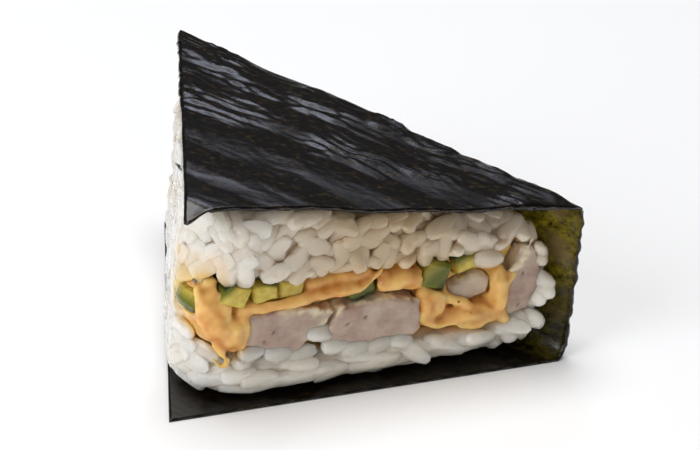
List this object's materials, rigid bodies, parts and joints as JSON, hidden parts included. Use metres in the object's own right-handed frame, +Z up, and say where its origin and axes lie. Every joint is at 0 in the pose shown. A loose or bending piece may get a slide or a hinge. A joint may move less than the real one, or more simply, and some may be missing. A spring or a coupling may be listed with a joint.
{
  "type": "onigiri sandwich",
  "caption": "Triangular pressed rice sandwich with chicken, cucumber and spiced sauce showing along its front, in a folded nori jacket over its top, back and bottom.",
  "frame": {"origin": "middle of the bottom of the nori jacket's box", "axes": "+X along the open front edge to the sharp right end, +Y to the back corner, +Z up"},
  "size_m": [0.0907, 0.0855, 0.0467],
  "materials": {
    "nori": "crisp dried seaweed sheet, near black with a faint sheen on its wrinkles",
    "rice": "moist cooked short-grain rice, warm white and slightly glossy",
    "chicken": "cut poached chicken, pale pinkish beige with small pores",
    "cucumber": "wet diced cucumber, pale green flesh with a dark skin",
    "sauce": "thick glossy spiced mayonnaise, orange yellow"
  },
  "bodies": {
    "root": {"nori": "nori", "rice": "rice", "chicken_1": "chicken", "chicken_2": "chicken", "chicken_3": "chicken", "chicken_4": "chicken", "cucumber_1": "cucumber", "cucumber_2": "cucumber", "cucumber_3": "cucumber", "cucumber_4": "cucumber", "cucumber_5": "cucumber", "cucumber_6": "cucumber", "cucumber_7": "cucumber", "sauce": "sauce"}
  },
  "joints": []
}
